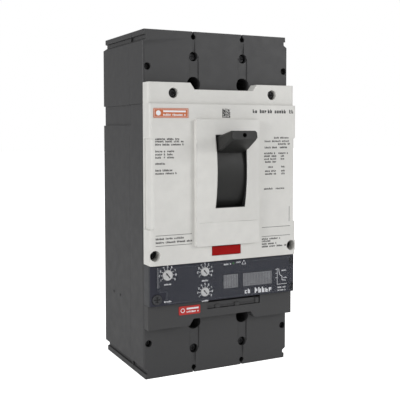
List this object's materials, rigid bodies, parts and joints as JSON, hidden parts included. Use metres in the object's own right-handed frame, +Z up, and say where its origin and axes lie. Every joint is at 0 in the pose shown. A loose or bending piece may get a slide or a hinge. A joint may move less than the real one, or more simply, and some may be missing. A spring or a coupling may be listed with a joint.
{
  "type": "molded case circuit breaker",
  "caption": "Three-pole molded case circuit breaker with toggle handle, electronic trip unit with dials and displays, push-to-trip button and terminals at both ends.",
  "frame": {"origin": "centre of the flat rear mounting face, midway between the line and load ends", "axes": "+Z up, from the load end to the line end; the front with the handle faces -Y; +X is to the right of someone facing the front"},
  "size_m": [0.14, 0.1452, 0.292],
  "materials": {
    "dark_case": "moulded thermoset, matt",
    "white_cover": "fine-textured moulded plastic",
    "trip_plastic": "moulded plastic, matt",
    "trip_panel": "printed face plate, satin",
    "clear_plastic": "clear polycarbonate",
    "board_green": "solder-resist coated board",
    "dial_plastic": "light moulded plastic",
    "display_grey": "display window, grey",
    "orange_label": "printed label",
    "red_label": "printed label",
    "red_button": "moulded plastic",
    "handle_plastic": "moulded plastic, satin",
    "steel": "zinc-plated steel",
    "dark_steel": "black oxide steel",
    "copper": "copper, silver-plated contacts",
    "fibre": "vulcanised fibre and steel plates",
    "coil_plastic": "moulded plastic"
  },
  "bodies": {
    "case": {"rear_base": "dark_case", "mid_cover": "dark_case", "front_cover": "white_cover", "trip_unit_housing": "trip_plastic", "trip_unit_panel": "trip_panel", "trip_unit_board": "board_green", "test_port_plug": "trip_plastic", "display_window_left": "display_grey", "display_window_right": "display_grey", "rating_label": "orange_label", "caution_label": "red_label", "trip_button_spring": "steel", "trip_actuator": "dark_steel", "mechanism_plate_left": "steel", "cover_screw_top_left": "dark_steel", "case_screw_inner_top_left": "dark_steel", "case_screw_outer_top_left": "dark_steel", "cover_screw_bottom_left": "dark_steel", "case_screw_inner_bottom_left": "dark_steel", "case_screw_outer_bottom_left": "dark_steel", "mechanism_plate_right": "steel", "cover_screw_top_right": "dark_steel", "case_screw_inner_top_right": "dark_steel", "case_screw_outer_top_right": "dark_steel", "cover_screw_bottom_right": "dark_steel", "case_screw_inner_bottom_right": "dark_steel", "case_screw_outer_bottom_right": "dark_steel", "line_conductor_left": "copper", "load_conductor_left": "copper", "flexible_strap_left": "copper", "arc_chute_left": "fibre", "current_transformer_left": "coil_plastic", "line_conductor_centre": "copper", "load_conductor_centre": "copper", "flexible_strap_centre": "copper", "arc_chute_centre": "fibre", "current_transformer_centre": "coil_plastic", "line_conductor_right": "copper", "load_conductor_right": "copper", "flexible_strap_right": "copper", "arc_chute_right": "fibre", "current_transformer_right": "coil_plastic"},
    "handle_lever": {"handle": "handle_plastic", "handle_yoke": "steel", "main_spring_left": "steel", "main_spring_right": "steel"},
    "contact_shaft": {"crossbar": "coil_plastic", "contact_arm_left": "copper", "contact_arm_centre": "copper", "contact_arm_right": "copper"},
    "latch_cradle": {"cradle": "steel"},
    "toggle_upper": {"upper_link": "steel"},
    "toggle_lower": {"lower_link": "steel"},
    "push_button": {"trip_button": "red_button"},
    "trip_shaft": {"trip_bar": "coil_plastic"},
    "plunger": {"actuator_plunger": "steel"},
    "dial_long_time": {"long_time_current_dial": "dial_plastic"},
    "dial_short_time": {"short_time_current_dial": "dial_plastic"},
    "dial_delay": {"short_time_delay_dial": "dial_plastic"},
    "clear_cover": {"trip_unit_cover": "clear_plastic"}
  },
  "joints": [
    {"name": "handle_throw", "type": "hinge", "parent": "case", "child": "handle_lever", "pos_m": [0, -0.062, 0.0285], "axis": [1, 0, 0], "range_deg": [0, 40.4], "deforming": ["main_spring_left", "main_spring_right"]},
    {"name": "crossbar_turn", "type": "hinge", "parent": "case", "child": "contact_shaft", "pos_m": [0, -0.038, 0.008], "axis": [1, 0, 0], "range_deg": [0, 36.5]},
    {"name": "cradle_release", "type": "hinge", "parent": "case", "child": "latch_cradle", "pos_m": [0, -0.062, 0.06], "axis": [-1, 0, 0], "range_deg": [0, 12]},
    {"name": "upper_link_swing", "type": "hinge", "parent": "latch_cradle", "child": "toggle_upper", "pos_m": [0, -0.084, 0.028], "axis": [1, 0, 0], "range_deg": [-80, 1]},
    {"name": "lower_link_swing", "type": "hinge", "parent": "toggle_upper", "child": "toggle_lower", "pos_m": [0, -0.065, 0.0305], "axis": [1, 0, 0], "range_deg": [-1, 110]},
    {"name": "button_press", "type": "slide", "parent": "case", "child": "push_button", "axis": [0, 1, 0], "range_m": [0, 0.003], "stiffness_N_per_m": 400, "springref_m": -0.001, "deforming": ["trip_button_spring"]},
    {"name": "trip_shaft_turn", "type": "hinge", "parent": "case", "child": "trip_shaft", "pos_m": [0, -0.072, -0.052], "axis": [-1, 0, 0], "range_deg": [0, 14]},
    {"name": "plunger_rise", "type": "slide", "parent": "case", "child": "plunger", "axis": [0, 0, 1], "range_m": [0, 0.002]},
    {"name": "long_time_dial_turn", "type": "hinge", "parent": "case", "child": "dial_long_time", "pos_m": [-0.0538, -0.11, -0.0564], "axis": [0, 1, 0], "range_deg": [-100, 170]},
    {"name": "short_time_dial_turn", "type": "hinge", "parent": "case", "child": "dial_short_time", "pos_m": [-0.0195, -0.11, -0.0564], "axis": [0, 1, 0], "range_deg": [-100, 170]},
    {"name": "delay_dial_turn", "type": "hinge", "parent": "case", "child": "dial_delay", "pos_m": [-0.0195, -0.11, -0.0736], "axis": [0, 1, 0], "range_deg": [-100, 170]},
    {"name": "clear_cover_swing", "type": "hinge", "parent": "case", "child": "clear_cover", "pos_m": [-0.0632, -0.1125, -0.06], "axis": [0, 0, -1], "range_deg": [0, 120]}
  ],
  "couplings": [
    {"joint": "crossbar_turn", "follows": "handle_throw", "ratio": 0.9},
    {"joint": "upper_link_swing", "follows": "handle_throw", "ratio": -1.6379},
    {"joint": "lower_link_swing", "follows": "handle_throw", "ratio": 2.4041},
    {"joint": "trip_shaft_turn", "follows": "button_press", "rad_per_m": 76.9}
  ]
}
